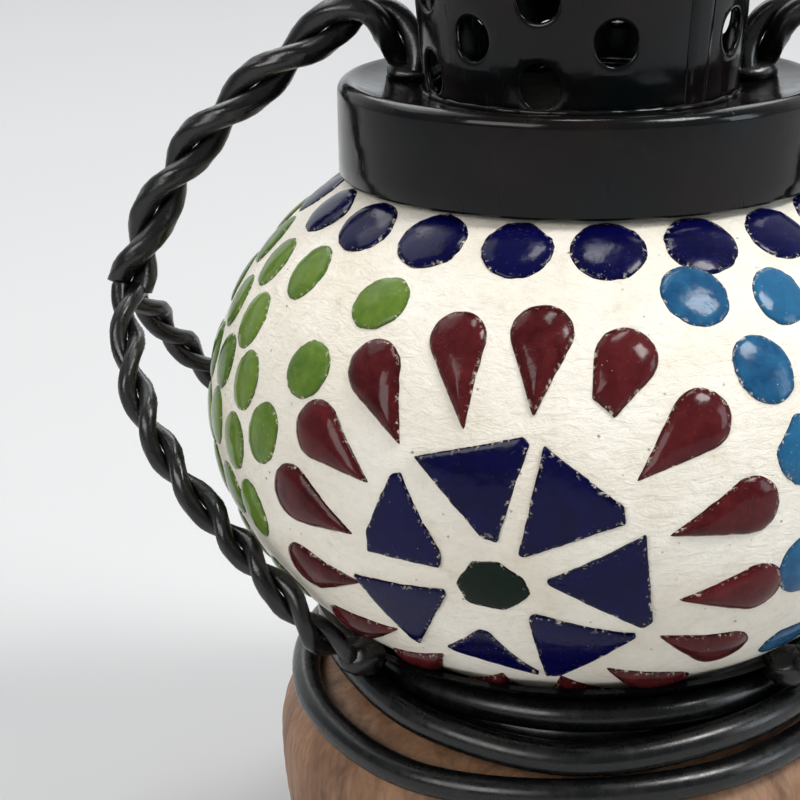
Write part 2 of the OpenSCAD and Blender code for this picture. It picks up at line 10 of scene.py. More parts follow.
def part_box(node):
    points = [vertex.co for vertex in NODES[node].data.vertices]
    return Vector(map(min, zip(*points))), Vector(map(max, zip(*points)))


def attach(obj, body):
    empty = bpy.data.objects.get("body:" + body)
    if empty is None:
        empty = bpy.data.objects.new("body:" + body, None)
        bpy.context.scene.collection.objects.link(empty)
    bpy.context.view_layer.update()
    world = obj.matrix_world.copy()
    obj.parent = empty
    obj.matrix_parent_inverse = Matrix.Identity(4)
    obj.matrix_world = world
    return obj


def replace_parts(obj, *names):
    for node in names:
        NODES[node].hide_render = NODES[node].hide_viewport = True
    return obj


MM = 0.001
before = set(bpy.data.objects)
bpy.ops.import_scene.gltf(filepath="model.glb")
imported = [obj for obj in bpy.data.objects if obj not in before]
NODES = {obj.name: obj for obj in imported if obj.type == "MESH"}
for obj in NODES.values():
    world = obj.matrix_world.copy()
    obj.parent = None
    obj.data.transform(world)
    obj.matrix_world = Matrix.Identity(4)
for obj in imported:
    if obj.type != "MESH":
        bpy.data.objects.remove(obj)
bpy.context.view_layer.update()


# ---------- camera and cord ----------

def add_camera():
    """35 cm in front of the lamp, looking down on the globe and a little to its left."""
    pitch = math.radians(17.70)
    yaw = math.radians(-4.97)
    roll = math.radians(-0.82)
    forward = Vector((math.sin(yaw) * math.cos(pitch), math.cos(yaw) * math.cos(pitch), -math.sin(pitch)))
    right = Vector((math.cos(yaw), -math.sin(yaw), 0))
    up = right.cross(forward)
    side = math.cos(roll) * right + math.sin(roll) * up
    top = -math.sin(roll) * right + math.cos(roll) * up
    data = bpy.data.cameras.new("camera")
    data.lens = 95.85
    data.sensor_width = 36
    data.clip_start = 0.01
    camera = bpy.data.objects.new("camera", data)
    bpy.context.scene.collection.objects.link(camera)
    camera.matrix_world = Matrix((
        (side.x, top.x, -forward.x, 0),
        (side.y, top.y, -forward.y, -0.350),
        (side.z, top.z, -forward.z, 0.2001),
        (0, 0, 0, 1)))
    bpy.context.scene.camera = camera


def smooth(points, steps):
    """Catmull-Rom curve through the points, with that many steps between neighbours."""
    pts = [Vector(p) for p in points]
    last = len(pts) - 1
    out = []
    for i in range(last):
        a, b, c, d = pts[max(i - 1, 0)], pts[i], pts[i + 1], pts[min(i + 2, last)]
        for j in range(steps):
            t = j / steps
            out.append(0.5 * (2 * b + (c - a) * t + (2 * a - 5 * b + 4 * c - d) * t * t
                              + (3 * b - a - 3 * c + d) * t * t * t))
    return out + [pts[last]]


CORD_D = 5.0
RISER = [(0, 70, 8), (0, 77, 8), (4, 86, 6.5), (13, 93, 4.2), (25, 96, 2.5), (38, 92, 2.5), (49, 83, 3.6),
         (56, 70, 7), (59, 55, 14), (58.5, 39, 22.5), (56.5, 22, 30.5)]
TAIL = [(-33.5, 47, 46.2), (-33, 55, 42.5), (-32, 64, 34), (-31.5, 72, 24), (-31, 80, 14), (-30, 89, 6.5),
        (-26, 99, 3.4), (-19, 108, 4), (-8, 114, 8.5)]
THROUGH_SWITCH = [(10, 114, 8.5), (34, 114, 8.5)]
END = [(52, 114, 8.5), (60, 114, 6), (69, 116, 3.6), (78, 122, 2.5), (84, 131, 2.5), (85, 142, 2.5),
       (80, 152, 2.5), (71, 159, 3.6), (60, 162, 5.4), (50, 162, 6.6), (40, 162, 7)]
# Where each turn lies, every 30 degrees from the right through the front: distance from the axis and height
TURNS = [
    [(51.0, 39.4), (49.2, 41.2), (49.9, 40.5), (50.6, 39.8), (51.2, 39.1), (49.4, 41.0),
     (47.0, 42.8), (46.0, 43.4), (45.6, 43.6), (46.4, 43.2), (47.2, 42.7), (46.8, 42.9)],
    [(44.8, 44.0), (43.6, 44.4), (44.4, 44.1), (45.6, 43.6), (43.4, 44.5), (40.3, 45.2),
     (40.2, 45.2), (40.6, 45.1), (40.8, 45.1), (41.4, 45.0), (42.0, 44.9), (41.8, 44.9)],
    [(39.4, 45.6), (38.2, 46.0), (39.2, 46.2), (40.6, 45.4), (37.6, 45.3), (35.2, 45.3),
     (35.2, 45.3), (35.4, 45.3), (35.6, 45.3), (36.2, 45.3), (36.8, 45.4), (38.0, 46.6)],
    [(42.2, 49.2), (41.6, 49.4), (42.6, 49.3), (42.6, 49.4), (40.4, 49.0), (38.4, 48.8),
     (38.2, 48.8), (38.4, 48.8), (38.8, 48.8), (39.4, 48.9), (40.2, 49.0), (41.8, 49.4)],
    [(46.4, 48.5), (46.8, 47.7), (48.2, 46.6), (49.2, 45.0), (47.4, 47.0), (43.6, 49.2),
     (43.2, 49.4)]]
LAST_STRETCH = [(-106, 45.2, 49.0), (-120, 48.0, 48.4), (-132, 52.0, 47.4)]


def round_base(angle, radius, z):
    """A point at an angle from the front, positive to the right, round the base."""
    a = math.radians(angle)
    return (radius * math.sin(a), -radius * math.cos(a), z)


def cord_route():
    """The cord's centre line, from the hole in the base, round the turns and through the switch to the plug."""
    turns = [round_base(90 - 30 * k - (6 if k + n == 0 else 0), r, z)
             for n, turn in enumerate(TURNS) for k, (r, z) in enumerate(turn)]
    turns += [round_base(*p) for p in LAST_STRETCH]
    lead = smooth(RISER + turns + TAIL + THROUGH_SWITCH + END, 8)
    return [p * MM for p in lead]


def add_cord():
    """The mains cord, as one tube along its whole route."""
    route = cord_route()
    curve = bpy.data.curves.new("mains_cord", "CURVE")
    curve.dimensions = "3D"
    curve.bevel_depth = 1  # times each point's own radius
    curve.bevel_resolution = 5
    curve.use_fill_caps = True
    spline = curve.splines.new("POLY")
    spline.points.add(len(route) - 1)
    for point, p in zip(spline.points, route):
        point.co = (p.x, p.y, p.z, 1)
        point.radius = CORD_D / 2 * MM
    spline.use_smooth = True
    cord = bpy.data.objects.new("mains_cord", curve)
    bpy.context.scene.collection.objects.link(cord)
    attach(cord, "lamp")
    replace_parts(cord, "cord_riser", "cord_coil", "cord_tail", "cord_end")
    curve.materials.append(MATERIALS["cord_pvc"])


# ---------- materials ----------

class Finish:
    """A Principled material and short ways to wire its nodes."""

    def __init__(self, name, **values):
        self.material = bpy.data.materials.new(name)
        self.material.use_nodes = True
        self.tree = self.material.node_tree
        self.shader = self.tree.nodes["Principled BSDF"]
        self.coords = self.tree.nodes.new("ShaderNodeTexCoord").outputs["Object"]
        for key, value in values.items():
            self.shader.inputs[key.replace("_", " ")].default_value = value

    def node(self, kind, inputs=(), **settings):
        made = self.tree.nodes.new("ShaderNode" + kind)
        for key, value in settings.items():
            setattr(made, key, value)
        for key, value in dict(inputs).items():
            if isinstance(value, bpy.types.NodeSocket):
                self.tree.links.new(value, made.inputs[key])
            else:
                made.inputs[key].default_value = value
        return made

    def space(self, scale=(1, 1, 1), turn=(0, 0, 0)):
        """Object coordinates, stretched and turned."""
        return self.node("Mapping", {"Vector": self.coords, "Scale": scale, "Rotation": turn}).outputs[0]

    def noise(self, size_mm, detail=3, rough=0.5, distortion=0, space=None):
        """Noise with features of about that size, from 0 to 1."""
        return self.node("TexNoise", {"Vector": space or self.coords, "Scale": 1 / (size_mm * MM),
                                      "Detail": detail, "Roughness": rough,
                                      "Distortion": distortion}).outputs[0]

    def cells(self, size_mm, feature="F1", space=None):
        """Distance to the nearest of scattered points about that far apart."""
        return self.node("TexVoronoi", {"Vector": space or self.coords, "Scale": 1 / (size_mm * MM)},
                         feature=feature).outputs["Distance"]

    def steps(self, value, low, high, out_low=0.0, out_high=1.0):
        """Maps low..high to out_low..out_high, clamped."""
        return self.node("MapRange", {"Value": value, "From Min": low, "From Max": high,
                                      "To Min": out_low, "To Max": out_high}).outputs[0]

    def mix(self, factor, a, b):
        """Colour a turned into colour b by factor. Each is a socket or a linear colour."""
        made = self.node("Mix", {"Factor": factor}, data_type="RGBA")
        for socket, value in ((made.inputs[6], a), (made.inputs[7], b)):
            if isinstance(value, bpy.types.NodeSocket):
                self.tree.links.new(value, socket)
            else:
                socket.default_value = (*value, 1)
        return made.outputs[2]

    def math(self, operation, a, b=0.0):
        made = self.node("Math", operation=operation)
        for socket, value in zip(made.inputs, (a, b)):
            if isinstance(value, bpy.types.NodeSocket):
                self.tree.links.new(value, socket)
            else:
                socket.default_value = value
        return made.outputs[0]

    def set(self, name, socket):
        """Feeds one of the shader's inputs."""
        self.tree.links.new(socket, self.shader.inputs[name])

    def bump(self, height, depth_mm, strength=1.0, under=None):
        """A normal from a height, laid over the normal under."""
        inputs = {"Height": height, "Distance": depth_mm * MM, "Strength": strength}
        if under is not None:
            inputs["Normal"] = under
        return self.node("Bump", inputs).outputs[0]


def srgb(r, g, b):
    """An sRGB colour, 0 to 255, as linear."""
    def one(v):
        v /= 255
        return v / 12.92 if v <= 0.04045 else ((v + 0.055) / 1.055) ** 2.4
    return (one(r), one(g), one(b))


def scratches(f, size_mm=9, turn=(0.3, 0.2, 0.7)):
    """Sparse hairline scratches as a 0 to 1 mask."""
    line = f.noise(size_mm / 9, 0, space=f.space((1, 6, 0.08), turn))
    where = f.noise(size_mm, 2)
    return f.math("MULTIPLY", f.steps(line, 0.70, 0.735), f.steps(where, 0.52, 0.60))


def paint_black():
    f = Finish("black_paint", Specular_IOR_Level=0.22)
    marks = scratches(f)
    tint = f.mix(f.steps(f.noise(24, 2), 0.4, 0.6), srgb(8, 13, 15), srgb(16, 11, 10))
    dust = f.steps(f.noise(12, 5, 0.7), 0.5, 0.85)
    f.set("Base Color", f.mix(f.math("MULTIPLY", dust, 0.4), tint, srgb(36, 35, 33)))
    f.set("Roughness", f.math("ADD", f.steps(f.noise(6, 4, 0.65), 0.35, 0.8, 0.09, 0.24),
                              f.math("MULTIPLY", marks, 0.25)))
    wave = f.bump(f.noise(3.2, 2), 0.06, 0.7)
    fine = f.bump(f.noise(0.5, 3), 0.01, 0.5, wave)
    f.set("Normal", f.bump(marks, -0.02, 0.6, fine))
    return f.material


def iron_finish():
    f = Finish("black_iron", Specular_IOR_Level=0.5)
    worn = f.noise(9, 5, 0.7)
    f.set("Base Color", f.mix(f.steps(worn, 0.5, 0.85), srgb(12, 12, 12), srgb(34, 32, 30)))
    f.set("Roughness", f.steps(f.noise(4, 4, 0.6), 0.3, 0.75, 0.16, 0.42))
    hammer = f.bump(f.noise(2.6, 3, 0.55), 0.16, 0.8)
    f.set("Normal", f.bump(f.noise(0.45, 3), 0.02, 0.5, hammer))
    return f.material


def cord_finish():
    f = Finish("cord_pvc", Specular_IOR_Level=0.42)
    scuffs = f.noise(5, 5, 0.75)
    f.set("Base Color", f.mix(f.steps(scuffs, 0.5, 0.9), srgb(9, 10, 11), srgb(34, 33, 32)))
    f.set("Roughness", f.steps(f.noise(2.5, 4, 0.7), 0.3, 0.75, 0.2, 0.4))
    wave = f.bump(f.noise(7, 2), 0.18, 0.5)
    f.set("Normal", f.bump(f.noise(0.35, 3), 0.012, 0.6, wave))
    return f.material


def plastic_finish(name, colour, worn, rough=0.38, grain_mm=0.5):
    f = Finish(name, Specular_IOR_Level=0.45)
    f.set("Base Color", f.mix(f.steps(f.noise(8, 4, 0.7), 0.5, 0.9), colour, worn))
    f.set("Roughness", f.steps(f.noise(3, 3), 0.3, 0.7, rough - 0.07, rough + 0.1))
    f.set("Normal", f.bump(f.cells(grain_mm), 0.03, 0.5))
    return f.material


def metal_finish(name, colour, dull, rough=0.3):
    f = Finish(name, Metallic=1.0)
    f.set("Base Color", f.mix(f.steps(f.noise(5, 5, 0.7), 0.4, 0.8), colour, dull))
    f.set("Roughness", f.steps(f.noise(1.6, 4), 0.3, 0.7, rough - 0.1, rough + 0.15))
    f.set("Normal", f.bump(f.noise(0.4, 2, space=f.space((1, 1, 12))), 0.01, 0.5))
    return f.material


def grout_finish():
    f = Finish("grout", Specular_IOR_Level=0.28)
    broad = f.noise(20, 4, 0.6)
    fine = f.noise(1.3, 5, 0.75)
    mottled = f.mix(f.steps(broad, 0.35, 0.7), srgb(240, 235, 224), srgb(224, 216, 199))
    speckled = f.mix(f.math("MULTIPLY", f.steps(fine, 0.5, 0.78), 0.4), mottled, srgb(206, 196, 178))
    sparse = f.steps(f.noise(6, 3, 0.6), 0.54, 0.6)
    # Small dents in the grout; the dark brown they are given below is painted shade in the dents.
    shaded_pits = f.math("MULTIPLY", f.steps(f.cells(1.9), 0.16, 0.05), sparse)
    grubby = f.math("MULTIPLY", f.steps(f.noise(5, 5, 0.75), 0.58, 0.75), 0.22)
    soiled = f.mix(grubby, speckled, srgb(160, 142, 116))
    f.set("Base Color", f.mix(f.math("MULTIPLY", shaded_pits, 0.7), soiled, srgb(104, 90, 72)))
    f.set("Roughness", f.steps(fine, 0.3, 0.7, 0.5, 0.75))
    strokes = f.noise(3.2, 4, 0.65, 0.6, f.space((1, 1, 2.2), (0.5, 0.25, 0.2)))
    ripples = f.bump(strokes, 0.6, 0.8)
    sanded = f.bump(f.noise(0.55, 5, 0.75, 0, f.space((1, 1, 1.8))), 0.14, 0.8, ripples)
    f.set("Normal", f.bump(shaded_pits, -0.25, 0.9, sanded))
    return f.material


def glass_finish(name, deep, light, bright, rough=0.1, mottle_mm=3.5):
    """Glass tiles of one colour: a deep tone with lighter clouds, a tone for each tile, painted shade at the
    rims, and smeared grout.
    """
    f = Finish(name, Specular_IOR_Level=0.17)
    tone = f.node("Attribute", attribute_name="tile_tone").outputs["Fac"]
    rim = f.node("Attribute", attribute_name="tile_rim").outputs["Fac"]
    clouds = f.steps(f.noise(mottle_mm, 4, 0.65, 0.4), 0.35, 0.72)
    base = f.mix(f.math("MULTIPLY", clouds, 0.8), deep, light)
    toned = f.mix(f.math("MULTIPLY", tone, 0.6), base, light)
    flecks = f.steps(f.cells(1.5), 0.16, 0.05)
    lit = f.mix(f.math("MULTIPLY", flecks, f.math("MULTIPLY", tone, 0.35)), toned, bright)
    # Darker towards each tile's rim: painted shade where the tile meets the grout.
    rim_shaded = f.mix(f.math("MULTIPLY", rim, 0.5), lit, tuple(0.35 * c for c in deep))
    smear = f.math("MULTIPLY", f.steps(rim, 0.05, 0.6), f.steps(f.noise(0.9, 4, 0.7), 0.56, 0.62))
    crumbs = f.math("MULTIPLY", f.steps(f.cells(1.1), 0.1, 0.04), f.steps(f.noise(5, 3), 0.62, 0.66))
    dirt = f.math("MAXIMUM", smear, crumbs)
    f.set("Base Color", f.mix(f.math("MULTIPLY", dirt, 0.8), rim_shaded, srgb(205, 196, 178)))
    marks = scratches(f, 6, (0.9, 0.3, 0.2))
    dulled = f.math("MAXIMUM", f.math("MULTIPLY", marks, 0.3), f.math("MULTIPLY", dirt, 0.5))
    f.set("Roughness", f.math("ADD", f.steps(f.noise(2.4, 4, 0.7), 0.4, 0.8, rough, rough + 0.14), dulled))
    wave = f.bump(f.noise(3.4, 2), 0.16, 0.5)
    ripple = f.bump(f.noise(0.9, 3, 0.6), 0.035, 0.5, wave)
    f.set("Normal", f.bump(f.math("SUBTRACT", dirt, marks), 0.05, 0.7, ripple))
    return f.material


def wood_finish():
    f = Finish("wood", Specular_IOR_Level=0.35)
    lean = (0.35, 0.55, 0.0)
    grain = f.noise(9, 6, 0.62, 1.4, f.space((1, 1, 0.22), lean))
    fibres = f.noise(0.9, 4, 0.6, space=f.space((1, 1, 0.05), lean))
    smudge = f.noise(11, 4, 0.7, 0.8, f.space((1, 1, 0.55), lean))
    body = f.mix(f.steps(grain, 0.32, 0.7), srgb(158, 120, 90), srgb(112, 78, 56))
    lined = f.mix(f.math("MULTIPLY", f.steps(fibres, 0.5, 0.75), 0.5), body, srgb(96, 65, 46))
    f.set("Base Color", f.mix(f.math("MULTIPLY", f.steps(smudge, 0.53, 0.68), 0.65), lined, srgb(66, 44, 32)))
    f.set("Roughness", f.steps(fibres, 0.3, 0.7, 0.42, 0.62))
    f.set("Normal", f.bump(fibres, 0.1, 0.5, f.bump(grain, 0.25, 0.4)))
    return f.material


def felt_finish():
    f = Finish("felt", Roughness=0.95, Sheen_Weight=0.4)
    f.set("Base Color", f.mix(f.noise(0.8, 4, 0.7), srgb(28, 29, 30), srgb(52, 53, 55)))
    f.set("Normal", f.bump(f.noise(0.3, 3, 0.8), 0.2, 0.8))
    return f.material


def clear_glass_finish(name, colour, rough):
    f = Finish(name, Transmission_Weight=0.9, IOR=1.5)
    f.set("Base Color", f.mix(f.noise(12, 3), colour, tuple(0.9 * c for c in colour)))
    f.set("Roughness", f.steps(f.noise(3, 3), 0.3, 0.7, rough, rough + 0.06))
    return f.material


MATERIALS = {
    "black_paint": paint_black(),
    "black_iron": iron_finish(),
    "cord_pvc": cord_finish(),
    "cord_rubber": plastic_finish("cord_rubber", srgb(24, 24, 24), srgb(58, 57, 55), 0.5),
    "switch_plastic": plastic_finish("switch_plastic", srgb(22, 22, 23), srgb(60, 59, 58), 0.34),
    "rocker_plastic": plastic_finish("rocker_plastic", srgb(150, 24, 22), srgb(176, 60, 50), 0.26),
    "holder_plastic": plastic_finish("holder_plastic", srgb(26, 26, 26), srgb(50, 49, 48), 0.3),
    "holder_ceramic": plastic_finish("holder_ceramic", srgb(228, 223, 210), srgb(196, 188, 170), 0.35),
    "wire_insulation": plastic_finish("wire_insulation", srgb(110, 70, 40), srgb(80, 52, 34), 0.4),
    "plated_brass": metal_finish("plated_brass", srgb(212, 182, 108), srgb(150, 122, 70)),
    "zinc_steel": metal_finish("zinc_steel", srgb(190, 190, 186), srgb(128, 128, 124)),
    "pin_metal": metal_finish("pin_metal", srgb(205, 205, 202), srgb(150, 150, 146), 0.22),
    "filament": metal_finish("filament", srgb(150, 146, 140), srgb(90, 88, 84)),
    "bulb_glass": clear_glass_finish("bulb_glass", (0.98, 0.98, 0.96), 0.02),
    "globe_glass": clear_glass_finish("globe_glass", (0.93, 0.97, 0.95), 0.08),
    "wood": wood_finish(),
    "felt": felt_finish(),
    "grout": grout_finish(),
    "glass_dark_green": glass_finish("glass_dark_green", srgb(0, 15, 6), srgb(1, 28, 12), srgb(14, 52, 28)),
    "glass_navy": glass_finish("glass_navy", srgb(2, 3, 40), srgb(10, 9, 66), srgb(52, 56, 104)),
    "glass_red": glass_finish("glass_red", srgb(50, 8, 12), srgb(92, 32, 34), srgb(150, 66, 50)),
    "glass_green": glass_finish("glass_green", srgb(50, 84, 24), srgb(108, 132, 54), srgb(166, 180, 88)),
    "glass_blue": glass_finish("glass_blue", srgb(18, 60, 98), srgb(46, 106, 144), srgb(124, 182, 202)),
    "glass_amber": glass_finish("glass_amber", srgb(140, 70, 12), srgb(196, 122, 32), srgb(236, 184, 84)),
}


# ---------- meshes ----------

def new_piece(name, vertices, faces, slot):
    """A smooth mesh piece, given in millimetres, that rides on the lamp, with its slot's material."""
    mesh = bpy.data.meshes.new(name)
    mesh.from_pydata([Vector(v) * MM for v in vertices], [], faces)
    mesh.polygons.foreach_set("use_smooth", [True] * len(mesh.polygons))
    mesh.materials.append(MATERIALS[slot])
    piece = bpy.data.objects.new(name, mesh)
    bpy.context.scene.collection.objects.link(piece)
    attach(piece, "lamp")
    return piece


def tidy(piece, merge=True):
    """Merges coincident points, unless merge is off, and turns the faces outwards."""
    work = bmesh.new()
    work.from_mesh(piece.data)
    if merge:
        bmesh.ops.remove_doubles(work, verts=work.verts, dist=0.02 * MM)
    bmesh.ops.recalc_face_normals(work, faces=work.faces)
    work.to_mesh(piece.data)
    work.free()
    return piece


def lathe(profile, segments, shift=None):
    """Closed profile of (radius, height) points turned round the axis. shift(p) may move a point."""
    n = len(profile)
    vertices = []
    for s in range(segments):
        a = 2 * math.pi * s / segments
        for r, z in profile:
            p = Vector((r * math.sin(a), -r * math.cos(a), z))
            vertices.append(shift(p) if shift else p)
    faces = []
    for s in range(segments):
        t = (s + 1) % segments
        for i in range(n):
            j = (i + 1) % n
            faces.append((s * n + i, s * n + j, t * n + j, t * n + i))
    return vertices, faces


def arc(cx, cy, r, start, end, steps):
    """Points along a circle, in degrees from the +r axis."""
    angles = [math.radians(start + (end - start) * i / steps) for i in range(steps + 1)]
    return [(cx + r * math.cos(a), cy + r * math.sin(a)) for a in angles]


# ---------- globe ----------

GLOBE_A, GLOBE_C, GLOBE_Z = 62.5, 48.0, 90.0
SQUARES = Vector((1 / GLOBE_A ** 2, 1 / GLOBE_A ** 2, 1 / GLOBE_C ** 2))
FLOWERS = 3
FLOWER_LON, FLOWER_DZ = -11.2, -11.5
DROPS = 16
CHIPPED_DROP = (0, 15)  # flower and teardrop
TOP_OVALS = 19
TOP_LON, TOP_DZ = -12.4, 35.1
rng = random.Random(7)


def times(a, b):
    return Vector((a.x * b.x, a.y * b.y, a.z * b.z))


def globe_normal(p):
    return times(p, SQUARES).normalized()


def shell_r(dz):
    return GLOBE_A * math.sqrt(max(0, 1 - (dz / GLOBE_C) ** 2))


def lon_point(lon, dz):
    a = math.radians(lon)
    return Vector((shell_r(dz) * math.sin(a), -shell_r(dz) * math.cos(a), dz))


def onto_globe(q, n):
    """q moved along n onto the globe's surface."""
    a = times(n, SQUARES).dot(n)
    b = times(n, SQUARES).dot(q)
    c = times(q, SQUARES).dot(q) - 1
    return q - n * ((b - math.sqrt(max(0, b * b - a * c))) / a)


def flower_point(lon, x, y):
    f = lon_point(lon, FLOWER_DZ)
    n = globe_normal(f)
    e = Vector((0, 0, 1)).cross(n).normalized()
    return onto_globe(f + x * e + y * n.cross(e), n)


def flower_polar(lon, bearing, chord):
    """A point by bearing, 0 to the right and 90 up, and straight distance from a flower's centre."""
    f = lon_point(lon, FLOWER_DZ)
    b = math.radians(bearing)
    reach = chord * 0.97
    for _ in range(4):
        reach *= chord / (flower_point(lon, reach * math.cos(b), reach * math.sin(b)) - f).length
    return flower_point(lon, reach * math.cos(b), reach * math.sin(b))


class TileSet:
    """Tiles of one colour, joined in one mesh, each with its own tone."""

    # share of the outline's size, height above the grout in mm, share of the dome's rise
    RINGS = [(1.0, -0.75, 0), (1.0, 0.02, 0), (0.985, 0.13, 0.04), (0.94, 0.19, 0.16), (0.84, 0.21, 0.42),
             (0.66, 0.22, 0.72), (0.42, 0.22, 0.92), (0.18, 0.22, 0.99)]

    def __init__(self, name, slot, node):
        self.name, self.slot, self.node = name, slot, node
        self.vertices, self.faces, self.tones, self.rims = [], [], [], []

    def add(self, p, towards, outline, rise=0.35, flat=0.0, rough_edge=0.12, tone=None):
        """A tile at globe point p with its x axis along towards."""
        n = globe_normal(p)
        x = (towards - towards.dot(n) * n).normalized()
        y = n.cross(x)
        seed = Vector((rng.uniform(0, 90), rng.uniform(0, 90), rng.uniform(0, 90)))
        tone = rng.random() if tone is None else tone
        tilt = (rng.uniform(-0.012, 0.012), rng.uniform(-0.012, 0.012))
        middle = (sum(u for u, _ in outline) / len(outline), sum(v for _, v in outline) / len(outline))
        first = len(self.vertices)
        count = len(outline)
        for share, height, domed in self.RINGS:
            for u0, v0 in outline:
                away = Vector((u0 - middle[0], v0 - middle[1])).normalized()
                wobble = rough_edge * (noise.noise(seed + Vector((u0, v0, 0)) * 0.55)
                                       + 0.6 * noise.noise(seed + Vector((u0, v0, 9)) * 2.3))
                u = middle[0] + (u0 - middle[0] + away.x * wobble) * share
                v = middle[1] + (v0 - middle[1] + away.y * wobble) * share
                q = onto_globe(p + u * x + v * y, n)
                lift = height + rise * domed + flat * (u * u + v * v) / 120 + tilt[0] * u + tilt[1] * v
                top = q + globe_normal(q) * (lift if height > 0 else height)
                self.vertices.append(top + Vector((0, 0, GLOBE_Z)))
                self.tones.append(tone)
                self.rims.append(max(0.0, (share - 0.9) / 0.1))
        for ring in range(len(self.RINGS) - 1):
            a, b = first + ring * count, first + (ring + 1) * count
            for i in range(count):
                j = (i + 1) % count
                self.faces.append((a + i, a + j, b + j, b + i))
        crown = first + (len(self.RINGS) - 1) * count
        self.faces.append(tuple(range(crown, crown + count)))

    def build(self):
        piece = new_piece(self.name, self.vertices, self.faces, self.slot)
        for label, values in (("tile_tone", self.tones), ("tile_rim", self.rims)):
            piece.data.attributes.new(label, "FLOAT", "POINT").data.foreach_set("value", values)
        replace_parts(piece, self.node)
        return piece


def rounded(corners, radius, steps=4, spacing=0.7):
    """A closed outline with rounded corners and with points no further apart than spacing."""
    out = []
    n = len(corners)
    for i in range(n):
        before, here, after = (Vector(corners[k % n]) for k in (i - 1, i, i + 1))
        p = here + (before - here).normalized() * radius
        q = here + (after - here).normalized() * radius
        for k in range(steps + 1):
            t = k / steps
            out.append((1 - t) ** 2 * p + 2 * t * (1 - t) * here + t * t * q)
    dense = []
    for a, b in zip(out, out[1:] + out[:1]):
        pieces = max(1, math.ceil((b - a).length / spacing))
        dense += [a.lerp(b, k / pieces) for k in range(pieces)]
    return [tuple(p) for p in dense]


def oval(long, wide, chip=0.0, chip_angle=0.0, points=40):
    """An oval; chip cuts that much off one side along a straight break."""
    out = []
    for i in range(points):
        a = 2 * math.pi * i / points
        u, v = long / 2 * math.cos(a), wide / 2 * math.sin(a)
        c, s = math.cos(chip_angle), math.sin(chip_angle)
        over = (u * c + v * s) - (min(long, wide) / 2 - chip)
        if chip and over > 0:
            u, v = u - over * c, v - over * s
        out.append((u, v))
    return out


def teardrop(head, tail, tip=0.35):
    """A round head at the origin and a tip at -tail."""
    side = math.acos(head / tail)
    sweep = [math.pi - side - 2 * (math.pi - side) * i / 26 for i in range(27)]
    round_end = [(head * math.cos(a), head * math.sin(a)) for a in sweep]
    up, low = Vector(round_end[0]), Vector(round_end[-1])
    near = [Vector((-tail + tip, tip * 0.7)), Vector((-tail, 0)), Vector((-tail + tip, -tip * 0.7))]
    rise = [tuple(near[0].lerp(up, k / 12)) for k in range(12)]
    fall = [tuple(low.lerp(near[2], k / 12)) for k in range(1, 13)]
    return [tuple(near[1])] + rise + round_end + fall


# A flower's centre and each of its wedges, corner by corner, as bearing and distance from its middle
CENTRE = [(183, 5.9), (128, 5.2), (78, 4.6), (20, 5.0), (346, 5.6), (285, 5.1), (222, 6.0)]
WEDGES = [
    [(20.5, 24.0), (-19.5, 24.3), (-23.0, 23.2), (7.0, 8.1), (13.0, 8.1)],
    [(71, 23.6), (34, 23.4), (28, 22.2), (50, 7.4), (57, 7.4)],
    [(123, 22.6), (79, 23.8), (76, 23.0), (83, 7.9), (100, 8.7)],
    [(175, 20.4), (165, 21.0), (136, 22.4), (132, 21.6), (148, 9.4), (164, 8.3)],
    [(231, 23.0), (227, 23.2), (190, 24.2), (194, 8.3), (202, 8.3)],
    [(281, 23.2), (243, 20.2), (240, 19.6), (252, 10.6), (260, 10.6)],
    [(332, 23.2), (288, 24.4), (283, 24.0), (308, 7.6), (318, 7.6)],
]


def in_plane(lon, p, n, x, y, bearing, chord):
    d = flower_polar(lon, bearing, chord) - p
    return (d.dot(x), d.dot(y))


def add_flower(k, centres, wedges, drops):
    """Flower k: the front one is laid out as measured, and the others differ as hand work does."""
    lon = FLOWER_LON + 360 / FLOWERS * k
    middle = lon_point(lon, FLOWER_DZ)
    centre = [(r * math.cos(math.radians(b)), r * math.sin(math.radians(b))) for b, r in CENTRE]
    e = Vector((0, 0, 1)).cross(globe_normal(middle))
    centres.add(middle, e, rounded(centre, 0.7), rise=0.25, rough_edge=0.2)
    for corners in WEDGES:
        wobble = 0 if k == 0 else 1
        bearing = sum(b for b, c in corners) / len(corners)
        chord = sum(c for b, c in corners) / len(corners)
        p = flower_polar(lon, bearing, chord)
        n = globe_normal(p)
        x = (p - middle - (p - middle).dot(n) * n).normalized()
        y = n.cross(x)
        outline = [in_plane(lon, p, n, x, y,
                            b + wobble * rng.uniform(-2, 2), c + wobble * rng.uniform(-0.5, 0.5))
                   for b, c in corners]
        wedges.add(p, x, rounded(outline, 0.45), rise=0.12, flat=0.55, rough_edge=0.16)
    for i in range(DROPS):
        bearing = 81 + 360 / DROPS * i + rng.uniform(-1.2, 1.2)
        chord = 37.5 + 2.1 * math.cos(math.radians(bearing)) + rng.uniform(-0.4, 0.4)
        p = flower_polar(lon, bearing, chord)
        inner = flower_polar(lon, bearing + rng.uniform(-2, 2), chord - 6)
        outline = teardrop(4.6 + rng.uniform(-0.2, 0.25), 12.8 + rng.uniform(-0.7, 0.8))
        if (k, i) == CHIPPED_DROP:
            outline = [(max(u, -8.2 + 0.35 * v), v) for u, v in outline]
        drops.add(p, p - inner, outline, rise=1.1, rough_edge=0.14, tone=0.1 + 0.6 * rng.random())


# Ovals along a flower's left and right edges, as bearing and distance from its centre
LEFT_ARC = [(122, 44.6), (144.5, 43.6), (164, 45.1), (185, 47.3), (206, 49)]
RIGHT_ARC = [(52.5, 48), (34, 50), (17.5, 49.6), (-6, 47.2), (-31, 52.5)]
# Ovals between two flowers, as longitude and height from the globe's centre
GAP = [(-56, 28.2), (-70, 27.2), (-84, 28), (-64, 19.2), (-77, 19.2), (-58.7, 11), (-70, 11), (-80, 10),
       (-60.5, 0.5), (-70.5, 1.5), (-78.5, -0.5), (-65.5, -9), (-74.5, -9), (-69, -19.5)]


